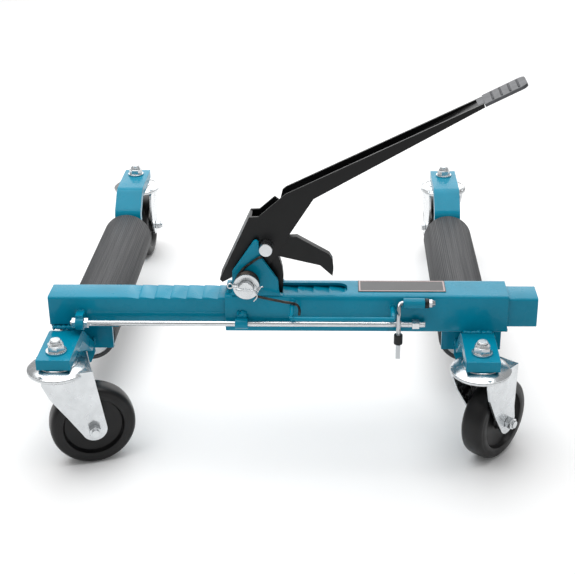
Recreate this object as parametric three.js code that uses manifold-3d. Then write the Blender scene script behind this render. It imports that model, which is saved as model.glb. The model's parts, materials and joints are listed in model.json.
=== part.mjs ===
// Foot-operated ratchet wheel dolly (vehicle positioning jack), millimetres, +Z up.
// A sliding pair of tubes carries two long rollers; a pedal and pawl squeeze the
// rollers together under a tyre, and four swivel casters let the car roll sideways.
// Design axes: X along the tubes, Y along the rollers (+Y away from the pedal side), Z up.

import * as THREE from 'three';
import { mergeVertices } from 'three/addons/utils/BufferGeometryUtils.js';
import Module from 'manifold-3d';

const wasm = await Module();
wasm.setup();

// ---- driving dimensions ----
const GAP = 0.3;                  // air left between pieces that touch

const TUBE_Z = 185;               // height of both tube centres
const OUTER = 50;                 // outer tube, square side
const OUTER_WALL = 4;
const OUTER_X = [-58, 299];
const INNER = 40;                 // sliding tube, square side
const INNER_WALL = 4;
const INNER_X = [-282, 337];
const TUBE_CORNER = 3;
const OUTER_TOP = TUBE_Z + OUTER / 2;
const OUTER_BOTTOM = TUBE_Z - OUTER / 2;
const OUTER_FACE = -OUTER / 2;    // Y of the outer tube's pedal-side face
const INNER_TOP = TUBE_Z + INNER / 2;
const INNER_BOTTOM = TUBE_Z - INNER / 2;

const TOOTH_PITCH = 20;
const TOOTH_DEPTH = 2;
const TOOTH_RAMP = 17;
const RACK_FIRST = -167;          // X of the first tooth face
const RACK_TEETH = 20;
const SLOT_X = [-24, 96];         // pawl slot in the outer tube's top
const SLOT_WIDE = 30;
const SLOT_ROUND = 11;

const ARM_X = 262;                // rollers, arms and casters stand at X = +-ARM_X
const BAR_WIDE = 42;              // flat bar of the four arms
const BAR_THICK = 14;
const BAR_TOP = OUTER_BOTTOM - GAP;
const FRONT_END_Y = -104.5;
const FRONT_BEND_Y = -21;
const REAR_END_Y = 584;
const REAR_BEND_Y = 491;
const BEND_FALL = 0.83;           // drop of the sloping stretch per mm along Y
const BEND_REACH = 9;             // length of each bend either side of its corner

const ROLLER_R = 38.6;
const ROLLER_WALL = 5;
const ROLLER_Z = 93;
const ROLLER_Y = [93, 446];
const SHAFT_R = 10;
const RUNNING = 0.3;              // radial clearance of turning pieces

const PLATE_LEFT_X = [-282, -216]; // roller bracket behind the sliding tube
const FLANGE_LEFT_X = [-282, -196];
const PLATE_RIGHT_X = [222.5, 301.5];
const PLATE_Y = [40, 46];
const PLATE_FOOT_Z = 101;
const PLATE_BOSS = 22;            // half width of the ear round the roller shaft
const FLANGE_THICK = 4;           // flange between tube and arm

const STEM_Y = [-81, 560];        // caster stems, pedal side and far side
const WHEEL_R = 54;
const WHEEL_WIDE = 32;
const TRAIL = 35.5;
const CROWN_R = 38;
const CROWN_TOP = BAR_TOP - BAR_THICK - 1.2;
const FORK_IN = 19;               // half the gap between the fork's legs
const FORK_SHEET = 3;
const FORK_SHOULDER = 42;         // how far the fork's legs reach on the trailing side
const FORK_FLARE = 0.11;          // outward lean of the legs per mm of height
const FLARE_FROM = 72;            // height at which that lean starts

const PIVOT = [-28.7, 230.5];     // X, Z of the pedal's pivot pin
const PIVOT_R = 9.5;
const LEVER_PIN = [-4.4, 275];    // X, Z of the pin that carries the drive pawl
const LEVER_PIN_R = 8.2;
const LUG_Y = [19, 25];           // each lug plate, either side of the middle
const WEB_Y = [12.2, 15.4];       // each side plate of the pedal channel
const DRIVE_PAWL_Y = [-11, -1];
const HOLD_PAWL_Y = [1, 11];

const ROD = { y: -31.5, z: 174.5, r: 3.6 };
const LATCH = { y: -33.2, z: 204.5, r: 3, sleeve: 6.6, legY: -41.5, legX: 160.5 };

// ---- materials ----
function paint(color, roughness = 0.45, metalness = 0) {
  return new THREE.MeshStandardMaterial({ color, roughness, metalness });
}
const TEAL = 0x0f82a6;
const BLACK = 0x1b1b1d;
const ZINC = 0xc9ccd0;
const RUBBER = 0x57585a;
const zinc = () => paint(ZINC, 0.3, 1);
const teal = () => paint(TEAL);
const black = () => paint(BLACK, 0.5);
const darkSteel = () => paint(0x3a3633, 0.4, 0.8);

// ---- solids and placing ----
const AXES = {
  x: [new THREE.Vector3(0, 1, 0), new THREE.Vector3(0, 0, 1), new THREE.Vector3(1, 0, 0)],
  y: [new THREE.Vector3(1, 0, 0), new THREE.Vector3(0, 0, 1), new THREE.Vector3(0, -1, 0)],
  z: [new THREE.Vector3(1, 0, 0), new THREE.Vector3(0, 1, 0), new THREE.Vector3(0, 0, 1)],
};

function signedVolume(position, index) {
  const a = new THREE.Vector3();
  const b = new THREE.Vector3();
  const c = new THREE.Vector3();
  let sum = 0;
  for (let i = 0; i < index.length; i += 3) {
    a.fromBufferAttribute(position, index[i]);
    b.fromBufferAttribute(position, index[i + 1]);
    c.fromBufferAttribute(position, index[i + 2]);
    sum += a.dot(b.cross(c));
  }
  return sum;
}

// A closed geometry as a manifold solid with its faces pointing out.
function solid(geometry) {
  const bare = geometry.clone();
  bare.deleteAttribute('normal');
  bare.deleteAttribute('uv');
  const merged = mergeVertices(bare, 1e-4);
  const corners = merged.index.array;
  const triangles = [];
  for (let i = 0; i < corners.length; i += 3) {
    const [a, b, c] = [corners[i], corners[i + 1], corners[i + 2]];
    if (a !== b && b !== c && c !== a) triangles.push(a, b, c);
  }
  if (signedVolume(merged.attributes.position, triangles) < 0) triangles.reverse();
  const vertProperties = new Float32Array(merged.attributes.position.array);
  const triVerts = new Uint32Array(triangles);
  return new wasm.Manifold(new wasm.Mesh({ numProp: 3, vertProperties, triVerts }));
}

function geometryOf(manifold) {
  const mesh = manifold.getMesh();
  const geometry = new THREE.BufferGeometry();
  geometry.setAttribute('position', new THREE.BufferAttribute(new Float32Array(mesh.vertProperties), 3));
  geometry.setIndex(new THREE.BufferAttribute(new Uint32Array(mesh.triVerts), 1));
  geometry.computeVertexNormals();
  return geometry;
}

const join = (...parts) => parts.reduce((sum, part) => sum.add(part));
const cut = (body, ...tools) => tools.reduce((rest, tool) => rest.subtract(tool), body);

// Extrude a shape along an axis from one place to another.
// The shape lies in (Y, Z) for axis x, in (X, Z) for axis y and in (X, Y) for axis z.
function extrude(shape, axis, from, to, curveSegments = 8) {
  const geometry = new THREE.ExtrudeGeometry(shape, { depth: to - from, bevelEnabled: false, curveSegments });
  geometry.applyMatrix4(new THREE.Matrix4().makeBasis(...AXES[axis]));
  const start = axis === 'y' ? to : from;
  geometry.translate(axis === 'x' ? start : 0, axis === 'y' ? start : 0, axis === 'z' ? start : 0);
  return solid(geometry);
}

function polygon(points) {
  return new THREE.Shape(points.map(([u, v]) => new THREE.Vector2(u, v)));
}

function box(x0, x1, y0, y1, z0, z1) {
  const geometry = new THREE.BoxGeometry(x1 - x0, y1 - y0, z1 - z0);
  geometry.translate((x0 + x1) / 2, (y0 + y1) / 2, (z0 + z1) / 2);
  return solid(geometry);
}

// A cylinder, or a prism with few sides, along an axis; u and v are the other two coordinates.
function rod(axis, u, v, radius, from, to, sides = 24, endRadius = radius) {
  const geometry = new THREE.CylinderGeometry(endRadius, radius, to - from, sides);
  geometry.rotateX(Math.PI / 2);
  geometry.translate(0, 0, (from + to) / 2);
  if (axis === 'x') geometry.applyMatrix4(new THREE.Matrix4().makeBasis(...AXES.x));
  if (axis === 'y') geometry.rotateX(-Math.PI / 2);
  const offset = { x: [0, u, v], y: [u, 0, v], z: [u, v, 0] }[axis];
  geometry.translate(...offset);
  return solid(geometry);
}

function hexagon(axis, u, v, acrossFlats, from, to) {
  return rod(axis, u, v, acrossFlats / Math.sqrt(3), from, to, 6);
}

// A turned piece about its own axis; the profile is a closed list of [radius, height].
function turned(profile, axis = 'z', sides = 32) {
  const closed = [...profile, profile[0]].map(([r, h]) => new THREE.Vector2(r, h));
  const geometry = new THREE.LatheGeometry(closed, sides);
  geometry.rotateX(Math.PI / 2);
  if (axis === 'y') geometry.rotateX(-Math.PI / 2);
  return solid(geometry);
}

function roundedSquare(side, corner) {
  const h = side / 2;
  const shape = new THREE.Shape();
  shape.moveTo(-h + corner, -h);
  shape.lineTo(h - corner, -h);
  shape.absarc(h - corner, -h + corner, corner, -Math.PI / 2, 0);
  shape.absarc(h - corner, h - corner, corner, 0, Math.PI / 2);
  shape.absarc(-h + corner, h - corner, corner, Math.PI / 2, Math.PI);
  shape.absarc(-h + corner, -h + corner, corner, Math.PI, Math.PI * 1.5);
  return shape;
}

// A round bar bent along a smooth or cornered path of points.
function bentRod(points, radius, sides = 10, tension = 0.08, steps = 24) {
  const path = new THREE.CatmullRomCurve3(points.map((p) => new THREE.Vector3(...p)), false, 'catmullrom', tension);
  const section = new THREE.Shape();
  section.absarc(0, 0, radius, 0, Math.PI * 2);
  const geometry = new THREE.ExtrudeGeometry(section, { steps, extrudePath: path, curveSegments: sides / 2 });
  return solid(geometry);
}

function piece(name, manifold, material) {
  const mesh = new THREE.Mesh(geometryOf(manifold), material);
  mesh.name = name;
  return mesh;
}

// ---- tubes ----
function squareTube(side, wall, [from, to]) {
  const section = roundedSquare(side, TUBE_CORNER);
  section.holes.push(new THREE.Path(roundedSquare(side - 2 * wall, 1).getPoints(1).reverse()));
  return extrude(section, 'x', from, to, 2).translate([0, 0, TUBE_Z]);
}

function outerTube() {
  const h = SLOT_WIDE / 2;
  const slot = new THREE.Shape();
  slot.moveTo(SLOT_X[0], -h);
  slot.lineTo(SLOT_X[1] - SLOT_ROUND, -h);
  slot.absarc(SLOT_X[1] - SLOT_ROUND, -h + SLOT_ROUND, SLOT_ROUND, -Math.PI / 2, 0);
  slot.absarc(SLOT_X[1] - SLOT_ROUND, h - SLOT_ROUND, SLOT_ROUND, 0, Math.PI / 2);
  slot.lineTo(SLOT_X[0], h);
  const cutter = extrude(slot, 'z', TUBE_Z, OUTER_TOP + 5, 4);
  return cut(squareTube(OUTER, OUTER_WALL, OUTER_X), cutter);
}

function innerTube() {
  const teeth = [];
  for (let i = 0; i < RACK_TEETH; i += 1) {
    const face = RACK_FIRST + i * TOOTH_PITCH;
    const notch = polygon([
      [face, INNER_TOP + 1],
      [face - TOOTH_RAMP, INNER_TOP + 1],
      [face - TOOTH_RAMP, INNER_TOP],
      [face, INNER_TOP - TOOTH_DEPTH],
    ]);
    teeth.push(extrude(notch, 'y', -INNER, INNER));
  }
  return cut(squareTube(INNER, INNER_WALL, INNER_X), ...teeth);
}

// ---- arms ----
// Side profile of a flat bar with two bends, from its upper line, thickened below it.
function bentBar(upper, thick) {
  const normals = [];
  for (let i = 0; i < upper.length - 1; i += 1) {
    const dy = upper[i + 1][0] - upper[i][0];
    const dz = upper[i + 1][1] - upper[i][1];
    const length = Math.hypot(dy, dz);
    const side = upper[upper.length - 1][0] > upper[0][0] ? 1 : -1;
    normals.push([side * dz / length, -side * dy / length]);
  }
  const lower = upper.map(([y, z], i) => {
    const a = normals[Math.max(i - 1, 0)];
    const b = normals[Math.min(i, normals.length - 1)];
    const scale = thick / (1 + a[0] * b[0] + a[1] * b[1]);
    return [y + (a[0] + b[0]) * scale, z + (a[1] + b[1]) * scale];
  });
  return polygon([...upper, ...lower.reverse()]);
}

// Replace each inner corner of a line with a short arc of points.
function eased(points, reach, steps = 4) {
  const result = [points[0]];
  for (let i = 1; i < points.length - 1; i += 1) {
    const [before, corner, after] = [points[i - 1], points[i], points[i + 1]].map(([u, v]) => new THREE.Vector2(u, v));
    const start = corner.clone().add(before.sub(corner).setLength(reach));
    const end = corner.clone().add(after.sub(corner).setLength(reach));
    const bend = new THREE.QuadraticBezierCurve(start, corner, end);
    result.push(...bend.getPoints(steps).map((p) => [p.x, p.y]));
  }
  result.push(points[points.length - 1]);
  return result;
}

function stemHole(x, y) {
  return rod('z', x, y, 6.5, CROWN_TOP - 20, BAR_TOP + 20, 20);
}

// The bar slopes down behind the tube and is cut level where it meets the roller bracket.
function frontArm(x) {
  const endY = PLATE_Y[0] - GAP;
  const upper = [
    [FRONT_END_Y, BAR_TOP],
    [FRONT_BEND_Y, BAR_TOP],
    [endY + 8, BAR_TOP - BEND_FALL * (endY + 8 - FRONT_BEND_Y)],
  ];
  const bar = extrude(bentBar(eased(upper, BEND_REACH), BAR_THICK), 'x', x - BAR_WIDE / 2, x + BAR_WIDE / 2);
  const beyond = box(x - BAR_WIDE, x + BAR_WIDE, endY, endY + 40, 0, BAR_TOP + 5);
  const below = box(x - BAR_WIDE, x + BAR_WIDE, FRONT_BEND_Y, endY + 40, 0, PLATE_FOOT_Z + 4.5);
  return cut(bar, beyond, below, stemHole(x, STEM_Y[0]));
}

function rearArm(x) {
  const footY = REAR_BEND_Y - 35;
  const upper = [
    [REAR_END_Y, BAR_TOP],
    [REAR_BEND_Y, BAR_TOP],
    [footY, BAR_TOP - BEND_FALL * 35],
    [footY, ROLLER_Z - 22],
  ];
  const bar = extrude(bentBar(eased(upper, BEND_REACH), BAR_THICK), 'x', x - BAR_WIDE / 2, x + BAR_WIDE / 2);
  const bore = rod('y', x, ROLLER_Z, SHAFT_R + GAP, footY - 10, footY + 30, 24);
  return cut(bar, bore, stemHole(x, STEM_Y[1]));
}

// Angle bracket: a flange under the tube and a leg behind it that holds the roller shaft.
function rollerBracket(x, flangeTop, [from, to], flangeX) {
  const boss = Math.min(PLATE_BOSS, x - from);
  const leg = polygon([
    [from, flangeTop], [from, PLATE_FOOT_Z], [x - boss, PLATE_FOOT_Z], [x - boss, ROLLER_Z],
    [x - boss * 0.7, ROLLER_Z - boss * 0.7], [x, ROLLER_Z - boss], [x + boss * 0.7, ROLLER_Z - boss * 0.7],
    [x + boss, ROLLER_Z], [x + boss, PLATE_FOOT_Z], [to, PLATE_FOOT_Z], [to, flangeTop],
  ].filter(([u, v], i, all) => i === 0 || u !== all[i - 1][0] || v !== all[i - 1][1]));
  const flangeFrom = FRONT_BEND_Y + 6;
  const plate = extrude(leg, 'y', ...PLATE_Y);
  const flange = box(...flangeX, flangeFrom, PLATE_Y[1], flangeTop - FLANGE_THICK, flangeTop);
  const bore = rod('y', x, ROLLER_Z, SHAFT_R + GAP, PLATE_Y[0] - 5, PLATE_Y[1] + 5, 24);
  const barSpace = box(x - BAR_WIDE / 2 - GAP, x + BAR_WIDE / 2 + GAP, FRONT_BEND_Y - 5, 4, 0, BAR_TOP + GAP);
  return cut(join(plate, flange), bore, barSpace);
}

// Long bolt through bracket, roller and far arm.
function rollerShaft(x) {
  const head = hexagon('y', x, ROLLER_Z, 20, PLATE_Y[0] - 9, PLATE_Y[0] - GAP);
  const shank = rod('y', x, ROLLER_Z, SHAFT_R, PLATE_Y[0] - 1, REAR_BEND_Y - 17, 24);
  return join(head, shank);
}

function rollerSleeve(x) {
  const inner = ROLLER_R - ROLLER_WALL;
  const ease = 1.2;
  const profile = [
    [inner, ROLLER_Y[0]], [ROLLER_R - ease, ROLLER_Y[0]], [ROLLER_R, ROLLER_Y[0] + ease],
    [ROLLER_R, ROLLER_Y[1] - ease], [ROLLER_R - ease, ROLLER_Y[1]], [inner, ROLLER_Y[1]],
  ];
  return turned(profile, 'y', 36).translate([x, 0, ROLLER_Z]);
}

function rollerCap(x, from, to) {
  const outer = ROLLER_R - ROLLER_WALL - GAP;
  const inner = SHAFT_R + RUNNING;
  const profile = [[inner, from], [outer, from], [outer, to], [inner, to]];
  return turned(profile, 'y', 28).translate([x, 0, ROLLER_Z]);
}

// ---- casters: built about their stem, wheel trailing along +X ----
function casterFork() {
  const crown = turned([
    [7, CROWN_TOP - 7], [26, CROWN_TOP - 7], [29, CROWN_TOP - 13], [34, CROWN_TOP - 13],
    [CROWN_R, CROWN_TOP - 10], [CROWN_R, CROWN_TOP - 6], [34, CROWN_TOP - 3],
    [19, CROWN_TOP], [7, CROWN_TOP],
  ], 'z', 28);
  const top = CROWN_TOP - 4;
  const eye = 16;
  const leg = new THREE.Shape();
  leg.moveTo(-24, top);
  leg.lineTo(-24, CROWN_TOP - 15);
  leg.lineTo(-15, CROWN_TOP - 38);
  leg.lineTo(TRAIL - eye * 0.94, WHEEL_R - eye * 0.35);
  leg.absarc(TRAIL, WHEEL_R, eye, Math.PI * 1.11, Math.PI * 2.02);
  leg.lineTo(FORK_SHOULDER, CROWN_TOP - 26);
  leg.lineTo(FORK_SHOULDER - 3, top);
  const legs = [-1, 1].map((side) => {
    const near = side > 0 ? FORK_IN : -FORK_IN - FORK_SHEET;
    const plate = extrude(leg, 'y', near, near + FORK_SHEET, 6);
    const straight = cut(plate, box(-90, 90, -90, 90, FLARE_FROM, 200));
    const leaning = cut(plate, box(-90, 90, -90, 90, 0, FLARE_FROM)).warp((v) => {
      v[1] += side * FORK_FLARE * (v[2] - FLARE_FROM);
    });
    return join(straight, leaning);
  });
  const reach = FORK_IN + FORK_FLARE * (CROWN_TOP - FLARE_FROM);
  const bridge = box(-23, FORK_SHOULDER - 4, -reach, reach, CROWN_TOP - 7, CROWN_TOP - 3.6);
  const bore = rod('z', 0, 0, 7, 80, 200, 28);
  const axleHole = rod('y', TRAIL, WHEEL_R, 5.3, -60, 60, 12);
  return cut(join(crown, ...legs, bridge), bore, axleHole);
}

function casterWheel() {
  const w = WHEEL_WIDE / 2;
  const bore = 5 + RUNNING;
  const profile = [
    [bore, -w - 1], [12, -w - 1], [14, -w + 6], [38, -w + 6], [42, -w], [WHEEL_R - 5, -w],
    [WHEEL_R, -w + 7], [WHEEL_R, w - 7], [WHEEL_R - 5, w], [42, w], [38, w - 6], [14, w - 6],
    [12, w + 1], [bore, w + 1],
  ];
  return turned(profile, 'y', 28).translate([TRAIL, 0, WHEEL_R]);
}

function casterAxle() {
  const outside = FORK_IN + FORK_SHEET + GAP;
  const nut = hexagon('y', TRAIL, WHEEL_R, 14, -outside - 8, -outside);
  const head = hexagon('y', TRAIL, WHEEL_R, 14, outside, outside + 6);
  const bolt = rod('y', TRAIL, WHEEL_R, 5, -outside - 11, outside + 2, 20);
  return join(nut, head, bolt);
}

function casterStem() {
  const head = rod('z', 0, 0, 12, CROWN_TOP - 15, CROWN_TOP - 7 - GAP, 24);
  const shank = rod('z', 0, 0, 6.2, CROWN_TOP - 15, BAR_TOP + 17, 24);
  return join(head, shank);
}

// Washer, hexagon and nylon collar of the locking nut on an arm.
function casterNut() {
  const washer = rod('z', 0, 0, 13, BAR_TOP + GAP, BAR_TOP + 2.5, 24);
  const flats = hexagon('z', 0, 0, 19, BAR_TOP + 2, BAR_TOP + 10);
  const collar = rod('z', 0, 0, 9, BAR_TOP + 9, BAR_TOP + 14, 18, 7.8);
  const bore = rod('z', 0, 0, 6.2 + GAP, BAR_TOP - 5, BAR_TOP + 30, 16);
  return cut(join(washer, flats, collar), bore);
}

// ---- pedal hub ----
function lug([from, to]) {
  const foot = OUTER_TOP + GAP;
  const fillet = 5;
  const shape = new THREE.Shape();
  shape.moveTo(-49, foot);
  shape.lineTo(-47, 243);
  shape.lineTo(-20, 283);
  shape.quadraticCurveTo(-16.5, 286.5, -13.6, 282);
  shape.lineTo(-13.2, 270);
  shape.lineTo(-11, 262.5);
  shape.lineTo(9.6, 231);
  shape.lineTo(10.6, foot + fillet);
  shape.quadraticCurveTo(10.8, foot + 0.6, 15.5, foot);
  const bore = rod('y', ...PIVOT, PIVOT_R + GAP, from - 5, to + 5, 24);
  return cut(extrude(shape, 'y', from, to, 3), bore);
}

function pivotPin() {
  return join(
    rod('y', ...PIVOT, PIVOT_R, -52, 30, 24),
    rod('y', ...PIVOT, PIVOT_R + 4, LUG_Y[1] + GAP, 32, 24),
  );
}

function pivotWasher() {
  const disc = rod('y', ...PIVOT, 16.5, -43.5, -41.5, 32);
  return cut(disc, rod('y', ...PIVOT, PIVOT_R + GAP, -50, -30, 24));
}

function splitPin() {
  const [x, z] = PIVOT;
  return bentRod([
    [x - 17, -47.5, z + 3], [x - 11.8, -48, z + 1.5], [x - 11.3, -54, z + 1],
    [x + 2, -54.5, z], [x + 12.5, -52.5, z - 2], [x + 14, -48, z - 12], [x + 11, -47, z - 19],
  ], 1.2, 6, 0.3, 14);
}

// Torsion spring: its coil as one sleeve, with its two legs.
function returnSpring() {
  const [x, z] = PIVOT;
  const y0 = -OUTER / 2 - GAP;
  const coil = cut(
    rod('y', x, z, 16, -41, y0, 32),
    rod('y', x, z, PIVOT_R + 0.8, -60, 0, 24),
  );
  const upperLeg = bentRod([
    [x - 11, -28, z + 8], [x - 6, -28, z + 17.5], [-14.5, -28, 263], [LEVER_PIN[0] - 5, -28.5, 264.2],
  ], 2, 6, 0.2, 8);
  const lowerLeg = bentRod([
    [x + 6, -38, z - 12], [x + 14, -38, z - 14.5], [18, -37, 207.3], [27.5, -36.5, 205.6],
    [34, -36, 202.5], [36.5, -36, 196], [36, -36, 189],
  ], 2, 6, 0.3, 14);
  return join(coil, upperLeg, lowerLeg);
}

function guardRod() {
  const loop = bentRod([
    [27, OUTER_FACE + 2, 202.3], [27, OUTER_FACE - 12, 200.5], [27.5, -59, 197], [31, -62, 196.6], [90, -62, 196.5],
    [149, -62, 196.4], [152.5, -59, 196.2], [153, OUTER_FACE - 10, 195], [153, OUTER_FACE + 2, 194.4],
  ], 3, 8, 0.5, 26);
  return cut(loop, box(0, 200, OUTER_FACE - GAP, 0, 150, 250));
}

function rodGuide() {
  const body = join(
    rod('x', ROD.y, ROD.z, 6.6, -45, -29, 24),
    box(-43, -31, OUTER_FACE - 4, OUTER_FACE - GAP, ROD.z - 1, ROD.z + 12),
  );
  const flush = box(-50, -20, OUTER_FACE - GAP, 0, ROD.z - 20, ROD.z + 20);
  return cut(body, rod('x', ROD.y, ROD.z, ROD.r + RUNNING, -60, 0, 24), flush);
}

function latchSleeve() {
  const body = join(
    rod('x', LATCH.y, LATCH.z, LATCH.sleeve, 166, 193, 24),
    box(170, 189, LATCH.y, OUTER_FACE - GAP, LATCH.z - 4, LATCH.z + 3),
  );
  return cut(body, rod('x', LATCH.y, LATCH.z, LATCH.r + RUNNING, 150, 210, 20));
}

function ratingPlate() {
  return box(110, 221, -12, 21, OUTER_TOP + GAP, OUTER_TOP + 0.9);
}

// ---- stop rod on the sliding tube ----
function rodLug() {
  const face = -INNER / 2 - GAP;
  const eye = rod('x', ROD.y, ROD.z, 9, -246, -236, 24);
  const foot = box(-246, -236, ROD.y - 4, face, ROD.z - 6, ROD.z + 12);
  const flush = box(-260, -220, face, 0, ROD.z - 20, ROD.z + 20);
  return cut(join(eye, foot), rod('x', ROD.y, ROD.z, ROD.r + RUNNING, -260, -220, 20), flush);
}

function stopRod() {
  return rod('x', ROD.y, ROD.z, ROD.r, -253, 194.5, 20);
}

function rodNut(from, to) {
  return cut(hexagon('x', ROD.y, ROD.z, 12, from, to), rod('x', ROD.y, ROD.z, ROD.r + GAP, from - 5, to + 5, 20));
}

// ---- pedal ----
const KNEE = [54.4, 336];
const KNEE_TOP = [20, 342];
const ARM_END = [257.1, 452];
const ARM_END_TOP = [255.5, 456.7];
const PAD_AT = [257.5, 453.5];    // X, Z of the tread pad's near lower edge
const PAD_TILT = 26.9;            // degrees, rising outward
const PAD_THICK = 4;
const [PAD_LONG, PAD_HALF, PAD_CORNER] = [55, 19, 8];

function webOutline() {
  const [px, pz] = PIVOT;
  const shape = new THREE.Shape();
  shape.moveTo(...KNEE_TOP);
  shape.lineTo(...ARM_END_TOP);
  shape.lineTo(...ARM_END);
  shape.lineTo(...KNEE);
  shape.lineTo(25.5, 291);
  shape.lineTo(13, 268);
  shape.lineTo(px + 19, pz + 8);
  shape.absarc(px, pz, 17, 0.3, -Math.PI * 0.6, true);
  shape.lineTo(-47, 232);
  shape.lineTo(-60.5, 224.5);
  shape.lineTo(-64, 228);
  shape.lineTo(-25, 312);
  shape.lineTo(-13.5, 312.5);
  return shape;
}

// A thin strip across the channel along the line from a to b.
function channelFloor(a, b, thick) {
  const length = Math.hypot(b[0] - a[0], b[1] - a[1]);
  const n = [-(b[1] - a[1]) / length * thick, (b[0] - a[0]) / length * thick];
  const strip = polygon([a, b, [b[0] + n[0], b[1] + n[1]], [a[0] + n[0], a[1] + n[1]]]);
  return extrude(strip, 'y', -WEB_Y[1], WEB_Y[1]);
}

function pedalChannel() {
  const outline = webOutline();
  const webs = [-1, 1].map((side) => {
    const near = side > 0 ? WEB_Y[0] : -WEB_Y[1];
    return extrude(outline, 'y', near, near + WEB_Y[1] - WEB_Y[0], 6);
  });
  const floor = channelFloor(KNEE, ARM_END, 3.2);
  const heel = channelFloor([-25, 312], [-64, 228], 3.2);
  const notch = polygon([[1, 333], [12, 324], [17.5, 347]]);
  const rearNotch = extrude(notch, 'y', 5, 30);
  const bores = [
    rod('y', ...PIVOT, PIVOT_R + RUNNING, -40, 40, 24),
    rod('y', ...LEVER_PIN, LEVER_PIN_R + GAP, -40, 40, 24),
  ];
  return cut(join(...webs, floor, heel), rearNotch, ...bores);
}

function treadPad() {
  const pad = new THREE.Shape();
  const straight = PAD_LONG - PAD_CORNER;
  const side = PAD_HALF - PAD_CORNER;
  pad.moveTo(0, -PAD_HALF);
  pad.lineTo(straight, -PAD_HALF);
  pad.absarc(straight, -side, PAD_CORNER, -Math.PI / 2, 0);
  pad.absarc(straight, side, PAD_CORNER, 0, Math.PI / 2);
  pad.lineTo(0, PAD_HALF);
  const plate = extrude(pad, 'z', 0, PAD_THICK, 4);
  const ribs = [];
  for (let row = 0; row < 4; row += 1) {
    const x = 10 + row * 11;
    ribs.push(box(x, x + 3, -PAD_HALF + 3, PAD_HALF - 3, PAD_THICK - 1, PAD_THICK + 1.2));
  }
  const root = polygon([[-8, 1.95], [-1.2, 2.3], [1, 2.3], [1, PAD_THICK], [-8, PAD_THICK]]);
  const tang = extrude(root, 'y', -WEB_Y[0] + 0.4, WEB_Y[0] - 0.4);
  return join(plate, tang, ...ribs);
}

function leverPin() {
  return rod('y', ...LEVER_PIN, LEVER_PIN_R, -33, 27, 24);
}

function pawlBush() {
  const sleeve = rod('y', ...LEVER_PIN, LEVER_PIN_R + RUNNING + 2, -WEB_Y[0] + 0.4, WEB_Y[0] - 0.4, 24);
  return cut(sleeve, rod('y', ...LEVER_PIN, LEVER_PIN_R + RUNNING, -40, 40, 24));
}

// Drive pawl with its toe-operated release horn.
function drivePawl() {
  const [x, z] = LEVER_PIN;
  const shape = new THREE.Shape();
  shape.moveTo(10.5, 283);
  shape.lineTo(33.3, 284.5);
  shape.lineTo(73.5, 261);
  shape.lineTo(77.5, 254);
  shape.lineTo(78.7, 240);
  shape.lineTo(77.5, 231.5);
  shape.lineTo(62, 246);
  shape.lineTo(10, 258.5);
  shape.quadraticCurveTo(17, 240, 15.5, 224);
  shape.lineTo(14.5, 206.3);
  shape.lineTo(9, 206.3);
  shape.lineTo(4.5, 222);
  shape.quadraticCurveTo(2, 243, -11, 255);
  shape.absarc(x, z, 17, Math.PI * 1.25, Math.PI * 0.6, true);
  shape.lineTo(4, 291.5);
  const bore = rod('y', x, z, LEVER_PIN_R + 2 * RUNNING + 2, -20, 20, 28);
  return cut(extrude(shape, 'y', ...DRIVE_PAWL_Y, 6), bore);
}

function holdingPawl() {
  const [x, z] = PIVOT;
  const shape = new THREE.Shape();
  shape.absarc(x, z, 15.5, Math.PI * 1.35, Math.PI * 0.1, true);
  shape.lineTo(-8.5, 212);
  shape.lineTo(-6.5, 206.3);
  shape.lineTo(-12, 206.3);
  const bore = rod('y', x, z, PIVOT_R + RUNNING, -20, 20, 24);
  return cut(extrude(shape, 'y', ...HOLD_PAWL_Y, 6), bore);
}

// ---- transport latch ----
function latchRod() {
  const { y, z, r, legX, legY } = LATCH;
  const shaft = rod('x', y, z, r, legX + 3, 203, 16);
  const leg = bentRod([
    [legX + 4, y, z], [legX + 1, y - 1.5, z - 1], [legX, y - 5, z - 5], [legX, legY, z - 14],
    [legX, legY, z - 30], [legX, legY, 166],
  ], r, 8, 0.4, 14);
  const blade = rod('z', legX, legY, r, 131, 167, 12);
  const flats = [-1, 1].map((side) => {
    const inner = legY + side * 1.4;
    const outer = legY + side * 8;
    return box(legX - 8, legX + 8, Math.min(inner, outer), Math.max(inner, outer), 120, 150);
  });
  return cut(join(shaft, leg, blade), ...flats);
}

function latchCollar() {
  const { legX, legY, r } = LATCH;
  const collar = rod('z', legX, legY, 5.6, 152, 165, 20);
  return cut(collar, rod('z', legX, legY, r + GAP, 140, 180, 16));
}

function latchNut() {
  const { y, z, r } = LATCH;
  const hex = hexagon('x', y, z, 10, 198.5, 202);
  const dome = rod('x', y, z, 5, 201.5, 206, 20, 3.2);
  return cut(join(hex, dome), rod('x', y, z, r + GAP, 190, 203.5, 16));
}

// ---- assembly ----
const centreX = (INNER_X[1] - ARM_X - ROLLER_R) / 2;
const rearmostY = STEM_Y[1] + TRAIL + WHEEL_R;
const centreY = (rearmostY + STEM_Y[0] - CROWN_R) / 2;
const assembly = new THREE.Group();
assembly.position.set(-centreX, -centreY, 0);

function add(name, manifold, material, group = assembly) {
  group.add(piece(name, manifold, material));
}

add('outer_tube', outerTube(), teal());
add('lug_front', lug([-LUG_Y[1], -LUG_Y[0]]), teal());
add('lug_rear', lug(LUG_Y), teal());
add('pivot_pin', pivotPin(), zinc());
add('pivot_washer', pivotWasher(), zinc());
add('split_pin', splitPin(), zinc());
add('return_spring', returnSpring(), darkSteel());
add('guard_rod', guardRod(), teal());
add('rod_guide', rodGuide(), teal());
add('latch_sleeve', latchSleeve(), teal());
add('rating_plate', ratingPlate(), paint(0x5f605f, 0.6));

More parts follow.
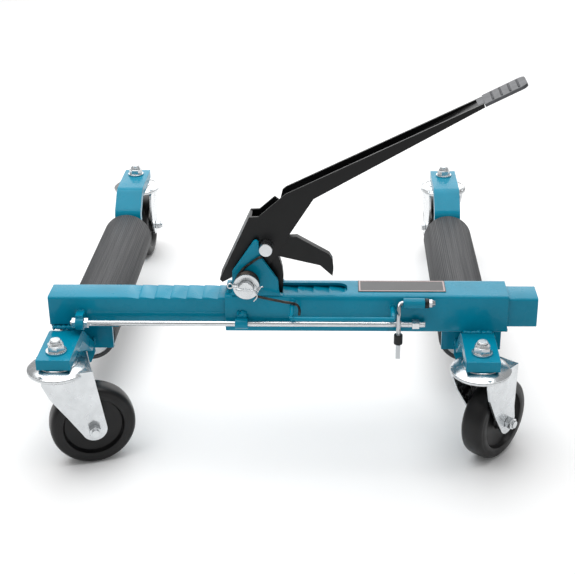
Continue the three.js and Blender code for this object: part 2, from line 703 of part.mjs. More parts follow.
add('inner_tube', innerTube(), teal());
add('rod_lug', rodLug(), teal());
add('stop_rod', stopRod(), zinc());
add('rod_nut_outer', rodNut(-250.8, -246.3), zinc());
add('rod_nut_inner', rodNut(-235.7, -230.5), zinc());
add('rod_nut_end', rodNut(178, 187), zinc());

const sides = [
  { word: 'left', sign: -1, flangeTop: INNER_BOTTOM - GAP, plateX: PLATE_LEFT_X, flangeX: FLANGE_LEFT_X },
  { word: 'right', sign: 1, flangeTop: OUTER_BOTTOM - GAP, plateX: PLATE_RIGHT_X, flangeX: PLATE_RIGHT_X },
];
for (const { word, sign, flangeTop, plateX, flangeX } of sides) {
  const x = sign * ARM_X;
  add(`arm_front_${word}`, frontArm(x), teal());
  add(`arm_rear_${word}`, rearArm(x), teal());
  add(`roller_bracket_${word}`, rollerBracket(x, flangeTop, plateX, flangeX), teal());
  add(`roller_shaft_${word}`, rollerShaft(x), zinc());
  add(`roller_${word}`, rollerSleeve(x), paint(RUBBER, 0.75));
  add(`roller_cap_front_${word}`, rollerCap(x, ROLLER_Y[0] + 2, ROLLER_Y[0] + 10), zinc());
  add(`roller_cap_rear_${word}`, rollerCap(x, ROLLER_Y[1] - 10, ROLLER_Y[1] - 2), zinc());
}

// Each caster turns about its stem; the heading is where its wheel trails at rest.
const casters = [
  { tag: 'fl', x: -ARM_X, y: STEM_Y[0], heading: 18 },
  { tag: 'fr', x: ARM_X, y: STEM_Y[0], heading: 50 },
  { tag: 'rl', x: -ARM_X, y: STEM_Y[1], heading: 88 },
  { tag: 'rr', x: ARM_X, y: STEM_Y[1], heading: 98 },
];
for (const { tag, x, y, heading } of casters) {
  const caster = new THREE.Group();
  caster.position.set(x, y, 0);
  caster.rotation.z = THREE.MathUtils.degToRad(heading);
  add(`fork_${tag}`, casterFork(), zinc(), caster);
  add(`wheel_${tag}`, casterWheel(), black(), caster);
  add(`axle_${tag}`, casterAxle(), zinc(), caster);
  add(`stem_${tag}`, casterStem(), zinc(), caster);
  add(`stem_nut_${tag}`, casterNut(), zinc(), caster);
  assembly.add(caster);
}

add('pedal_channel', pedalChannel(), black());
add('lever_pin', leverPin(), zinc());
const pad = piece('tread_pad', treadPad(), paint(0x6f7073, 0.5, 0.4));
pad.position.set(PAD_AT[0], 0, PAD_AT[1]);
pad.rotation.y = -THREE.MathUtils.degToRad(PAD_TILT);
assembly.add(pad);
add('pawl_bush', pawlBush(), darkSteel());
add('drive_pawl', drivePawl(), black());
add('holding_pawl', holdingPawl(), black());

add('latch_rod', latchRod(), zinc());
add('latch_collar', latchCollar(), black());
add('latch_nut', latchNut(), zinc());

const dolly = new THREE.Group();
dolly.add(assembly);
export default dolly;
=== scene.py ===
"""Looks of a foot-pedal wheel dolly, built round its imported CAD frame.

Lengths named in millimetres are turned to metres by at() and mm(). The working axes are the
dolly's own: X = 0 midway between the rollers, Y = 0 in the tubes' middle plane, Z = 0 on the floor.
"""

import json
import math

import bmesh
import bpy
from mathutils import Euler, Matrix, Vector, noise

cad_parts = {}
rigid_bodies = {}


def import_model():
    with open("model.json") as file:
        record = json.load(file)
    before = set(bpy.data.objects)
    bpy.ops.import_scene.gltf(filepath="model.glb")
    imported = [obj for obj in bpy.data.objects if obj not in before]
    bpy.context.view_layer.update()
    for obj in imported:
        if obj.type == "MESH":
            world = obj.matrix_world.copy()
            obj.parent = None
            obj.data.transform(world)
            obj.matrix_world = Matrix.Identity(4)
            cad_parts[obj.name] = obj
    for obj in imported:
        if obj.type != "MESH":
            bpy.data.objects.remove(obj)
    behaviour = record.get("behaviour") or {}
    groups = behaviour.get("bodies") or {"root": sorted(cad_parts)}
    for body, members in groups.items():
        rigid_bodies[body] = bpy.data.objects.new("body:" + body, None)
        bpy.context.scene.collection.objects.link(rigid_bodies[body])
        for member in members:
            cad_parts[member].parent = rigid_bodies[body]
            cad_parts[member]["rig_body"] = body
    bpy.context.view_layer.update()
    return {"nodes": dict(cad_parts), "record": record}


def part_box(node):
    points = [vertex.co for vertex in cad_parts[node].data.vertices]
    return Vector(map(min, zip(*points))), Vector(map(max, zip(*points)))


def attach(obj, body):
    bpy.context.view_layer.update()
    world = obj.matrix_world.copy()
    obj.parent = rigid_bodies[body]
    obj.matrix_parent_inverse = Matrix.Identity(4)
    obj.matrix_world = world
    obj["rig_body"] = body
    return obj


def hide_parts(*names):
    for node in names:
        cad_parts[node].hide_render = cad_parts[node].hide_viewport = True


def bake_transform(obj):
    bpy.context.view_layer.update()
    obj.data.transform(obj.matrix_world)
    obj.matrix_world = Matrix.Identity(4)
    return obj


bl_info = {
    "name": "Wheel Dolly Looks",
    "version": (1, 0, 0),
    "blender": (4, 5, 0),
    "location": "3D View > Sidebar > Dolly",
    "description": "Materials, welds, springs and fittings of a foot-pedal wheel dolly",
    "category": "Object",
}

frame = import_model()
NODES = frame["nodes"]
MOUNTS = {m["name"]: m for m in frame["record"]["mounts"]}
SLOTS = {s["node"]: s["material_slot"] for s in frame["record"]["subparts"]}

SIDES = ("left", "right")
CASTERS = ("fl", "fr", "rl", "rr")


# ---- places ----
def middle(node):
    """Centre of a CAD node's box, in metres."""
    low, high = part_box(node)
    return (low + high) / 2


ORIGIN = Vector((
    (middle("roller_shaft_left").x + middle("roller_shaft_right").x) / 2,
    middle("outer_tube").y,
    0,
))


def mm(*lengths):
    """Millimetres as a vector in metres."""
    return Vector(lengths) / 1000


def at(x, y, z):
    """A point given in millimetres from the dolly's own origin."""
    return ORIGIN + mm(x, y, z)


def local(node):
    """Box of a CAD node in millimetres from the dolly's own origin: low corner, high corner."""
    low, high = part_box(node)
    return (low - ORIGIN) * 1000, (high - ORIGIN) * 1000


# ---- settings a user would change ----
def colour(name, what, default):
    """A setting that holds a colour as an sRGB hex string."""
    return bpy.props.StringProperty(name=name, description=what + ", sRGB hex", default=default)


def power(name, what, default):
    """A setting that holds the power of a soft box."""
    return bpy.props.FloatProperty(
        name=name, description="Power of the " + what + " soft box", default=default, subtype="POWER")


def turn(name, what, degrees):
    """A setting that holds an angle, given in degrees."""
    return bpy.props.FloatProperty(
        name=name, description=what, default=math.radians(degrees), subtype="ANGLE", unit="ROTATION")


class DollyFinish(bpy.types.PropertyGroup):
    """Colours of the dolly's paints and platings."""

    teal: colour("Enamel", "Steelwork enamel", "01809C")
    lever: colour("Lever", "Powder coat of lever and pawls", "08090A")
    zinc: colour("Zinc", "Zinc plating", "D6D9DB")
    chrome: colour("Chrome", "Latch and stop rod plating", "B9BCBF")
    roller: colour("Rollers", "Roller coating", "38393B")
    wheel: colour("Wheels", "Caster wheel nylon", "060607")
    pad: colour("Foot pad", "Cast foot pad", "57585B")
    plate: colour("Plate", "Blank plate face", "434445")
    border: colour("Plate border", "Plate's printed border", "B9A3A1")
    floor: colour("Floor", "Studio floor", "F2F2F2")


class DollySizes(bpy.types.PropertyGroup):
    """Small sizes that the CAD frame leaves to the looks."""

    edge: bpy.props.FloatProperty(
        name="Edge rounding", description="Radius on sheared and sawn edges", default=0.0007,
        min=0, max=0.003, unit="LENGTH", subtype="DISTANCE")
    bead: bpy.props.FloatProperty(
        name="Weld bead", description="Radius of a fillet weld", default=0.0026,
        min=0.0005, max=0.006, unit="LENGTH", subtype="DISTANCE")
    rib: bpy.props.FloatProperty(
        name="Roller rib depth", description="Depth of the grooves along the rollers", default=0.0007,
        min=0, max=0.002, unit="LENGTH", subtype="DISTANCE")
    ribs: bpy.props.IntProperty(
        name="Roller ribs", description="Number of ribs round a roller", default=84, min=12, max=200)
    wire: bpy.props.FloatProperty(
        name="Spring wire", description="Radius of the return spring's wire", default=0.0017,
        min=0.0005, max=0.003, unit="LENGTH", subtype="DISTANCE")
    coils: bpy.props.IntProperty(
        name="Spring coils", description="Whole turns of the return spring", default=3, min=1, max=8)


class DollyStudio(bpy.types.PropertyGroup):
    """Camera and lights."""

    lens: bpy.props.FloatProperty(
        name="Lens", description="Camera focal length on a 36 mm sensor", default=76.70, min=20, max=300)
    station: bpy.props.FloatVectorProperty(
        name="Camera place", description="Camera from the dolly's origin",
        default=(0.08823, -1.41184, 0.87058), subtype="TRANSLATION", unit="LENGTH")
    pitch: turn("Pitch", "Camera angle below level", 25.33)
    roll: turn("Roll", "Camera tilt about its own line of sight", -0.11)
    yaw: turn("Yaw", "Camera turn about the vertical", 0.34)
    shift: bpy.props.FloatVectorProperty(
        name="Lens shift", description="Shift across and up, as parts of the sensor's width", size=2,
        default=(-0.083322, 0.010104))
    key: power("Key light", "overhead", 60)
    fill: power("Fill light", "front", 2)
    back: power("Back light", "far", 44)
    sky: bpy.props.FloatProperty(
        name="Surround", description="Strength of the white surround", default=0.45, min=0, max=5)


# ---- colour and nodes ----
def linear(hex_colour):
    """sRGB hex to linear red, green, blue and alpha."""
    channels = [int(hex_colour[i:i + 2], 16) / 255 for i in (0, 2, 4)]
    return tuple(c / 12.92 if c <= 0.04045 else ((c + 0.055) / 1.055) ** 2.4 for c in channels) + (1.0,)


def shade(hex_colour, factor):
    """The same colour made lighter or darker."""
    red, green, blue, alpha = linear(hex_colour)
    return (min(red * factor, 1), min(green * factor, 1), min(blue * factor, 1), alpha)


def put(tree, kind, values=None, links=None, **settings):
    """Add one node with its settings, its input values and the sockets that feed it."""
    node = tree.nodes.new(kind)
    for name, value in settings.items():
        setattr(node, name, value)
    for name, value in (values or {}).items():
        node.inputs[name].default_value = value
    for name, socket in (links or {}).items():
        tree.links.new(socket, node.inputs[name])
    return node


def surface(name):
    """A new material's tree, its shader and coordinates in metres."""
    material = bpy.data.materials.new(name)
    material.use_nodes = True
    tree = material.node_tree
    coordinates = put(tree, "ShaderNodeTexCoord")
    return material, tree, tree.nodes["Principled BSDF"], coordinates.outputs["Object"]


def grain(tree, place, size_mm, detail=2.0):
    """Noise whose lumps are about size_mm across."""
    values = {"Scale": 1000 / size_mm, "Detail": detail}
    return put(tree, "ShaderNodeTexNoise", values, {"Vector": place}).outputs["Fac"]


def spread(tree, socket, low, high):
    """Noise stretched to run from low to high."""
    values = {"From Min": 0.3, "From Max": 0.7, "To Min": low, "To Max": high}
    return put(tree, "ShaderNodeMapRange", values, {"Value": socket}).outputs["Result"]


def relief(tree, shader, height, depth_mm, strength=1.0):
    """Bump the shader by a height pattern of the given depth."""
    values = {"Strength": strength, "Distance": depth_mm / 1000}
    bump = put(tree, "ShaderNodeBump", values, {"Height": height})
    tree.links.new(bump.outputs["Normal"], shader.inputs["Normal"])


def tint(tree, shader, pattern, low, high):
    """Base colour running between two colours by a pattern."""
    ramp = put(tree, "ShaderNodeValToRGB", links={"Fac": pattern})
    ramp.color_ramp.elements[0].position = 0.35
    ramp.color_ramp.elements[1].position = 0.65
    ramp.color_ramp.elements[0].color = low
    ramp.color_ramp.elements[1].color = high
    tree.links.new(ramp.outputs["Color"], shader.inputs["Base Color"])


# ---- materials ----
def enamel_on_steel(colour):
    """Sprayed gloss enamel: wet highlights broken by a faint orange peel about 2 mm across."""
    material, tree, shader, place = surface("Teal enamel sprayed on steel")
    tint(tree, shader, grain(tree, place, 45), shade(colour, 0.93), shade(colour, 1.05))
    roughness = spread(tree, grain(tree, place, 18), 0.24, 0.34)
    tree.links.new(roughness, shader.inputs["Roughness"])
    shader.inputs["Specular IOR Level"].default_value = 0.08
    shader.inputs["Coat Weight"].default_value = 0.25
    shader.inputs["Coat Roughness"].default_value = 0.08
    relief(tree, shader, grain(tree, place, 2.2), 0.015, 0.3)
    return material


def powder_coat(colour):
    """Baked powder coat: satin black with a tight pebble that softens every highlight."""
    material, tree, shader, place = surface("Black powder coat on pressed steel")
    shader.inputs["Base Color"].default_value = linear(colour)
    tree.links.new(spread(tree, grain(tree, place, 12), 0.30, 0.40), shader.inputs["Roughness"])
    shader.inputs["Specular IOR Level"].default_value = 0.3
    relief(tree, shader, grain(tree, place, 1.2), 0.05, 0.4)
    return material


def zinc_plate(colour):
    """Bright zinc: a mirror gone milky, with cloudy patches a centimetre or so across."""
    material, tree, shader, place = surface("Bright zinc plated steel")
    tint(tree, shader, grain(tree, place, 14, 4), shade(colour, 0.9), shade(colour, 1.0))
    shader.inputs["Metallic"].default_value = 1
    tree.links.new(spread(tree, grain(tree, place, 9, 4), 0.18, 0.30), shader.inputs["Roughness"])
    relief(tree, shader, grain(tree, place, 2.5), 0.008, 0.3)
    return material


def chrome_plate(colour):
    """Polished chrome: hard, nearly black and white reflections."""
    material, tree, shader, place = surface("Chrome plated bright bar")
    shader.inputs["Base Color"].default_value = linear(colour)
    shader.inputs["Metallic"].default_value = 1
    tree.links.new(spread(tree, grain(tree, place, 6), 0.06, 0.12), shader.inputs["Roughness"])
    return material


def roller_coating(colour):
    """Thin extruded coating: flat dark grey, a little chalky, streaked along its length by the die."""
    material, tree, shader, place = surface("Extruded grey coating on steel tube")
    # Real die lines are finer than 1 mm; these are drawn about 2 mm apart so that they show.
    drawn = put(tree, "ShaderNodeMapping", {"Scale": (1, 0.015, 1)}, {"Vector": place}).outputs["Vector"]
    tint(tree, shader, grain(tree, drawn, 2.2, 3), shade(colour, 0.78), shade(colour, 1.25))
    tree.links.new(spread(tree, grain(tree, drawn, 3), 0.45, 0.62), shader.inputs["Roughness"])
    shader.inputs["Specular IOR Level"].default_value = 0.35
    relief(tree, shader, grain(tree, place, 0.9), 0.04, 0.4)
    return material


def moulded_nylon(colour):
    """Injection moulded nylon: deep black with a soft broad sheen and a fine spark-eroded grain."""
    material, tree, shader, place = surface("Black nylon injection moulded")
    shader.inputs["Base Color"].default_value = linear(colour)
    tree.links.new(spread(tree, grain(tree, place, 14), 0.34, 0.46), shader.inputs["Roughness"])
    shader.inputs["Specular IOR Level"].default_value = 0.35
    relief(tree, shader, grain(tree, place, 0.8), 0.03, 0.4)
    return material


def cast_pad(colour):
    """Sand cast alloy: dull grey with a coarse grain that catches small glints."""
    material, tree, shader, place = surface("Grey alloy sand cast")
    tint(tree, shader, grain(tree, place, 8, 4), shade(colour, 0.82), shade(colour, 1.15))
    shader.inputs["Metallic"].default_value = 0.45
    shader.inputs["Roughness"].default_value = 0.5
    relief(tree, shader, grain(tree, place, 1.3, 3), 0.12, 0.6)
    return material


def oiled_spring():
    """Oil-tempered wire: brown-black with a greasy metallic glint along each coil."""
    material, tree, shader, place = surface("Spring steel oil tempered")
    tint(tree, shader, grain(tree, place, 5, 3), linear("2A2725"), linear("4A443F"))
    shader.inputs["Metallic"].default_value = 0.85
    shader.inputs["Roughness"].default_value = 0.34
    return material


def printed_plate(colour, name):
    """Screen print on a thin plate: flat even colour with a slight satin."""
    material, tree, shader, place = surface(name)
    tint(tree, shader, grain(tree, place, 25), shade(colour, 0.95), shade(colour, 1.05))
    shader.inputs["Roughness"].default_value = 0.42
    return material


def studio_floor(colour):
    """Matt painted board: pale and even, so only the soft shadow shows."""
    material, tree, shader, place = surface("Matt painted floor board")
    tint(tree, shader, grain(tree, place, 900), shade(colour, 0.99), shade(colour, 1.0))
    shader.inputs["Roughness"].default_value = 0.75
    shader.inputs["Specular IOR Level"].default_value = 0.2
    return material


MATERIALS = {}


def finish_of(slot):
    """The material for a record slot, made once."""
    if slot not in MATERIALS:
        look = bpy.context.scene.dolly_finish
        makers = {
            "teal_paint": lambda: enamel_on_steel(look.teal),
            "black_paint": lambda: powder_coat(look.lever),
            "zinc_plate": lambda: zinc_plate(look.zinc),
            "chrome_plate": lambda: chrome_plate(look.chrome),
            "roller_coat": lambda: roller_coating(look.roller),
            "wheel_plastic": lambda: moulded_nylon(look.wheel),
            "black_plastic": lambda: moulded_nylon(look.wheel),
            "dark_steel": oiled_spring,
            "tread_cast": lambda: cast_pad(look.pad),
            "plate_print": lambda: printed_plate(look.plate, "Screen printed plate face"),
            "plate_border": lambda: printed_plate(look.border, "Screen printed plate border"),
            "floor": lambda: studio_floor(look.floor),
        }
        MATERIALS[slot] = makers[slot]()
    return MATERIALS[slot]


# ---- meshes ----
def thing(name, mesh, slot, sharp=32):
    """A new object with its material and smooth faces, sharp where faces meet above an angle."""
    item = bpy.data.objects.new(name, mesh)
    bpy.context.scene.collection.objects.link(item)
    mesh.materials.clear()
    mesh.materials.append(finish_of(slot))
    mesh.shade_smooth()
    mesh.set_sharp_from_angle(angle=math.radians(sharp))
    return item


def fit(item, body, stands_for=()):
    """Let a piece ride a body and stand for CAD nodes."""
    if stands_for:
        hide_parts(*stands_for)
    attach(item, body)
    return item


def body_of_node(node):
    """Name of the body that a CAD node belongs to."""
    return NODES[node]["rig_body"]


def softened(node, edge=None, sharp=30, segments=2):
    """The same piece with its flat faces whole and its edges rounded, standing for the CAD node."""
    sizes = bpy.context.scene.dolly_sizes
    mesh = bpy.data.meshes.new(node + "_look")
    shape = bmesh.new()
    shape.from_mesh(NODES[node].data)
    bmesh.ops.remove_doubles(shape, verts=shape.verts, dist=2e-6)
    bmesh.ops.dissolve_limit(shape, angle_limit=math.radians(0.4), verts=shape.verts, edges=shape.edges)
    shape.to_mesh(mesh)
    shape.free()
    item = thing(node + "_look", mesh, SLOTS[node], sharp)
    bevel = item.modifiers.new("Rounded edges", "BEVEL")
    bevel.width = sizes.edge if edge is None else edge
    bevel.segments = segments
    bevel.limit_method = "ANGLE"
    bevel.angle_limit = math.radians(sharp)
    bevel.harden_normals = True
    return fit(item, body_of_node(node), (node,))


def rings_to_mesh(name, rings, closed=True):
    """Skin a list of equal rings of points; closed joins the last ring to the first."""
    mesh = bpy.data.meshes.new(name)
    count = len(rings[0])
    points = [tuple(p) for ring in rings for p in ring]
    faces = []
    for r in range(len(rings) if closed else len(rings) - 1):
        here, there = r * count, (r + 1) % len(rings) * count
        for i in range(count):
            after = (i + 1) % count
            faces.append((here + i, here + after, there + after, there + i))
    if not closed:
        faces += [tuple(range(count))[::-1], tuple(range(len(points) - count, len(points)))]
    mesh.from_pydata(points, [], faces)
    shape = bmesh.new()
    shape.from_mesh(mesh)
    bmesh.ops.recalc_face_normals(shape, faces=shape.faces)
    shape.to_mesh(mesh)
    shape.free()
    return mesh


def turned(name, profile, centre, axis, slot, steps=72, sharp=32):
    """A turned ring: profile is a closed list of (radius, height) in millimetres about an axis."""
    axis = Vector(axis).normalized()
    side = axis.orthogonal().normalized()
    other = axis.cross(side)
    rings = []
    for radius, height in profile:
        angles = [2 * math.pi * i / steps for i in range(steps)]
        rings.append([
            centre + axis * height / 1000 + (side * math.cos(a) + other * math.sin(a)) * radius / 1000
            for a in angles
        ])
    return thing(name, rings_to_mesh(name, rings), slot, sharp)


def swept(name, points, radii, slot, sides=12, sharp=60):
    """A round bar along points in metres; radii is one radius in metres or one for each point."""
    radii = [radii] * len(points) if isinstance(radii, float) else radii
    rings = []
    reference = None
    for i, point in enumerate(points):
        ahead = (points[min(i + 1, len(points) - 1)] - points[max(i - 1, 0)]).normalized()
        if reference is None:
            reference = ahead.orthogonal()
        reference = (reference - ahead * reference.dot(ahead)).normalized()
        other = ahead.cross(reference)
        rings.append([
            point + (reference * math.cos(a) + other * math.sin(a)) * radii[i]
            for a in (2 * math.pi * k / sides for k in range(sides))
        ])
    return thing(name, rings_to_mesh(name, rings, closed=False), slot, sharp)


def curve_through(points, per_span=6):
    """Points of a smooth curve through the given ones (Catmull-Rom)."""
    padded = [points[0] * 2 - points[1], *points, points[-1] * 2 - points[-2]]
    result = []
    for i in range(1, len(padded) - 2):
        a, b, c, d = padded[i - 1:i + 3]
        for k in range(per_span):
            t = k / per_span
            square = (2 * a - 5 * b + 4 * c - d) * t * t
            cube = (3 * b - a - 3 * c + d) * t ** 3
            result.append(0.5 * (2 * b + (c - a) * t + square + cube))
    return [*result, points[-1]]


# ---- pieces ----
TEAL_PIECES = (
    "outer_tube", "inner_tube", "lug_front", "lug_rear", "rod_guide", "latch_sleeve", "rod_lug",
    "arm_front_left", "arm_front_right", "arm_rear_left", "arm_rear_right",
    "roller_bracket_left", "roller_bracket_right",
)
FINE_TEAL = ("rod_guide", "latch_sleeve", "rod_lug")


class DOLLY_OT_steelwork(bpy.types.Operator):
    """Enamelled tubes, arms, brackets and lugs with rounded edges"""

    bl_idname = "dolly.steelwork"
    bl_label = "Steelwork"

    def execute(self, context):
        for node in TEAL_PIECES:
            softened(node, 0.0004 if node in FINE_TEAL else None)
        softened("guard_rod", 0.0003, 50)
        return {"FINISHED"}


# Ends of weld runs that no CAD edge gives, in millimetres.
LUG_WELD_END = -26
LEFT_BRACKET_WELD_END = -199
ARM_FOOT_WELD_Z = (106, 118)
GUARD_END_Z = {"a": 202.2, "b": 194.8}

# Without a seed the vector noise differs each time Blender starts, and so would every bead.
WELD_SEED = 7


def weld(name, body, path, size=None, lumpy=0.22, step_mm=1.6):
    """A bead of weld along a path in millimetres, with the ripple that each weld pool leaves."""
    radius = (size or bpy.context.scene.dolly_sizes.bead * 1000) / 1000
    corners = [at(*p) for p in path]
    points, radii = [], []
    for a, b in zip(corners, corners[1:]):
        steps = max(2, round((b - a).length * 1000 / step_mm))
        points += [a.lerp(b, i / steps) for i in range(steps)]
    points.append(corners[-1])
    for i, point in enumerate(points):
        seed = point * 400
        wobble = noise.noise_vector(seed) * radius * 0.25
        points[i] = point + wobble
        ripple = 1 + lumpy * math.sin(i * math.pi * 0.5) + 0.3 * noise.noise(seed * 1.7)
        radii.append(radius * ripple)
    radii[0] = radii[-1] = radius * 0.45
    return fit(swept(name, points, radii, "teal_paint", 10, 75), body)


def lug_welds():
    """Fillets round the feet of both pedal lugs, and the rough run across the tube's end."""
    top = local("outer_tube")[1].z
    for word, node in (("front", "lug_front"), ("rear", "lug_rear")):
        low, high = local(node)
        inner = high.y if word == "front" else low.y
        heel = [
            (low.x, low.y + 1, top), (low.x, high.y - 1, top),
            (low.x + 2, inner, top), (LUG_WELD_END, inner, top),
        ]
        weld(f"weld_lug_{word}", "fixed_frame", heel, 2.2)
        toe = [(high.x - 4, low.y + 1, top), (high.x - 4, high.y - 1, top)]
        weld(f"weld_lug_{word}_toe", "fixed_frame", toe, 1.8)
    end = local("outer_tube")[0].x
    first = [(end + 4, -17, top - 0.5), (end + 5, 17, top - 0.5)]
    weld("weld_tube_end_a", "fixed_frame", first, 3.0, 0.3)
    second = [(end + 7.5, -18, top - 0.6), (end + 7, 16, top - 0.6)]
    weld("weld_tube_end_b", "fixed_frame", second, 2.4, 0.3)


def arm_welds():
    """Fillets where the arms and roller brackets meet the tubes."""
    tubes = (("left", "inner_tube", "sliding_beam"), ("right", "outer_tube", "fixed_frame"))
    for side, tube, body in tubes:
        arm_low, arm_high = local("arm_front_" + side)
        tube_low, tube_high = local(tube)
        seam = (tube_low.z + arm_high.z) / 2
        near = tube_low.y - 0.5
        ends = (max(arm_low.x + 2, tube_low.x + 2), arm_high.x - 2)
        weld(f"weld_arm_front_{side}", body, [(ends[0], near, seam), (ends[1], near, seam)], 2.8)
        bracket_low, bracket_high = local("roller_bracket_" + side)
        back = tube_high.y + 0.4
        start = max(bracket_low.x, tube_low.x) + 3
        end = bracket_high.x - 3 if side == "right" else LEFT_BRACKET_WELD_END
        under = tube_low.z - 0.2
        weld(f"weld_bracket_{side}", body, [(start, back, under), (end, back, under)], 2.6)
        foot = [(arm_low.x + 0.5, bracket_high.y - 6.5, z) for z in ARM_FOOT_WELD_Z]
        weld(f"weld_arm_foot_{side}_a", body, foot, 2.2)
        weld(f"weld_arm_foot_{side}_b", body, [(arm_high.x - 0.5, y, z) for _, y, z in foot], 2.2)


def small_welds():
    """Blobs that hold the guard rod, the guide and the latch sleeve to the tube, and the rod's lug."""
    face = local("outer_tube")[0].y
    inner_face = local("inner_tube")[0].y
    guide_low, guide_high = local("rod_guide")
    sleeve_low, sleeve_high = local("latch_sleeve")
    lug_low, lug_high = local("rod_lug")
    top = guide_high.z - 0.5
    run = [(guide_low.x + 1.5, face - 1, top), (guide_high.x - 1.5, face - 1, top)]
    weld("weld_guide", "fixed_frame", run, 3.2, 0.4)
    z = sleeve_low.z + 1.5
    run = [(sleeve_low.x + 3, face - 0.6, z), (sleeve_high.x - 3, face - 0.6, z)]
    weld("weld_sleeve", "fixed_frame", run, 2.9, 0.4)
    z = lug_high.z - 0.5
    run = [(lug_low.x + 1, inner_face - 0.6, z), (lug_high.x - 1, inner_face - 0.6, z)]
    weld("weld_rod_lug", "sliding_beam", run, 2.2)
    guard_low, guard_high = local("guard_rod")
    reach = 3.4
    for word, x in (("a", guard_low.x + 3), ("b", guard_high.x - 3)):
        z = GUARD_END_Z[word]
        angles = [i * math.pi / 6 for i in range(13)]
        ring = [(x + reach * math.cos(t), face - 0.4, z + reach * math.sin(t)) for t in angles]
        weld("weld_guard_" + word, "fixed_frame", ring, 1.3)


class DOLLY_OT_welds(bpy.types.Operator):
    """Painted-over weld beads at every steel joint"""

    bl_idname = "dolly.welds"
    bl_label = "Welds"

    def execute(self, context):
        noise.seed_set(WELD_SEED)
        lug_welds()
        arm_welds()
        small_welds()
        return {"FINISHED"}


def ribbed_roller(side):
    """The roller's coated tube, with fine ribs along its length."""
    sizes = context_sizes()
    node = "roller_" + side
    low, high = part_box(node)
    centre = middle(node)
    radius = (high.x - low.x) / 2
    wall, ease = 0.005, 0.0012
    per_rib = 4
    count = sizes.ribs * per_rib
    heights = (0, 1, 1, 0)

    def ring(y, base, ribbed):
        points = []
        for i in range(count):
            angle = 2 * math.pi * i / count
            r = base - (sizes.rib * heights[i % per_rib] if ribbed else 0)
            points.append(Vector((centre.x + r * math.cos(angle), y, centre.z + r * math.sin(angle))))
        return points

    rings = [
        ring(low.y, radius - wall, False),
        ring(low.y, radius - ease, False),
        ring(low.y + ease * 0.4, radius - ease * 0.4, False),
        ring(low.y + ease, radius, True),
        ring(high.y - ease, radius, True),
        ring(high.y - ease * 0.4, radius - ease * 0.4, False),
        ring(high.y, radius - ease, False),
        ring(high.y, radius - wall, False),
    ]
    item = thing(node + "_look", rings_to_mesh(node + "_look", rings), "roller_coat", 40)
    return fit(item, body_of_node(node), (node,))


def context_sizes():
    """The scene's small sizes."""
    return bpy.context.scene.dolly_sizes


class DOLLY_OT_rollers(bpy.types.Operator):
    """Ribbed rollers with their end caps and shafts"""

    bl_idname = "dolly.rollers"
    bl_label = "Rollers"

    def execute(self, context):
        for side in SIDES:
            ribbed_roller(side)
            for node in ("roller_cap_front_", "roller_cap_rear_", "roller_shaft_"):
                softened(node + side, 0.0005)
        return {"FINISHED"}


def caster_axis(tag):
    """Centre of a caster's wheel and the direction of its axle."""
    centre = middle("wheel_" + tag)
    stem = middle("stem_" + tag)
    trail = Vector((centre.x - stem.x, centre.y - stem.y, 0)).normalized()
    return centre, Vector((-trail.y, trail.x, 0)), trail


def nylon_wheel(tag):
    """Moulded wheel: crowned tread, raised rim ring, sunken web and a proud hub."""
    centre, axle, _ = caster_axis(tag)
    half = [
        (5.3, 17), (11.2, 17), (12, 16.4), (12.4, 13), (14, 10), (20, 9.4), (30, 9.4), (36, 10),
        (38, 13.2), (38.6, 15.4), (39.6, 16), (45.5, 16), (46.8, 15.4), (47.4, 15.4), (49.5, 15.2),
        (52, 13.2), (53.4, 10), (54, 4),
    ]
    profile = half + [(r, -h) for r, h in reversed(half)]
    item = turned(f"wheel_{tag}_look", profile, centre, axle, "wheel_plastic", 96, 38)
    return fit(item, "caster_wheel_" + tag, ("wheel_" + tag,))


def fork_fittings(tag):
    """Rolled lip under a caster's crown, and the ring of its ball race at the crown's top."""
    low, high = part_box("stem_" + tag)
    stem = Vector(((low.x + high.x) / 2, (low.y + high.y) / 2, 0))
    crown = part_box("fork_" + tag)[1].z * 1000
    lip = [
        (36.4 + 1.9 * math.cos(a), crown - 8 + 1.9 * math.sin(a))
        for a in (i * math.pi / 6 for i in range(12))
    ]
    item = turned(f"fork_{tag}_lip", lip, stem, (0, 0, 1), "zinc_plate", 72, 60)
    fit(item, "caster_" + tag)
    race = [
        (20, crown - 0.6), (23.5, crown - 1.2), (24.2, crown - 0.2),
        (23.2, crown + 0.5), (20.4, crown + 0.7),
    ]
    item = turned(f"fork_{tag}_race", race, stem, (0, 0, 1), "zinc_plate", 60, 60)
    fit(item, "caster_" + tag)


class DOLLY_OT_casters(bpy.types.Operator):
    """Swivel casters with moulded wheels and plated forks"""

    bl_idname = "dolly.casters"
    bl_label = "Casters"

    def execute(self, context):
        for tag in CASTERS:
            nylon_wheel(tag)
            fork_fittings(tag)
            for node in ("fork_", "axle_", "stem_", "stem_nut_"):
                softened(node + tag, 0.0005)
            thread(f"stem_{tag}_thread", body_of_node("stem_" + tag), stem_thread(tag))
        return {"FINISHED"}


def stem_thread(tag):
    """Centre, axis and ends in millimetres of the thread that shows above a caster's nut."""
    low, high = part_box("stem_" + tag)
    centre = Vector(((low.x + high.x) / 2, (low.y + high.y) / 2, 0))
    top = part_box("stem_nut_" + tag)[1].z
    return centre, (0, 0, 1), top * 1000 - 0.5, high.z * 1000 - 0.6, 6.2, 1.5


def thread(name, body, facts):
    """Rolled thread round a plain shank: sharp crests at the given pitch."""
    centre, axis, start, end, radius, pitch = facts
    turns = max(1, round((end - start) / pitch))
    step = (end - start) / turns
    crests = [(radius - 0.5, start)]
    for i in range(turns):
        crests += [(radius + 0.32, start + (i + 0.5) * step), (radius - 0.1, start + (i + 1) * step)]
    crests += [(radius - 0.5, end)]
    item = turned(name, crests, centre, axis, "zinc_plate", 32, 80)
    return fit(item, body)


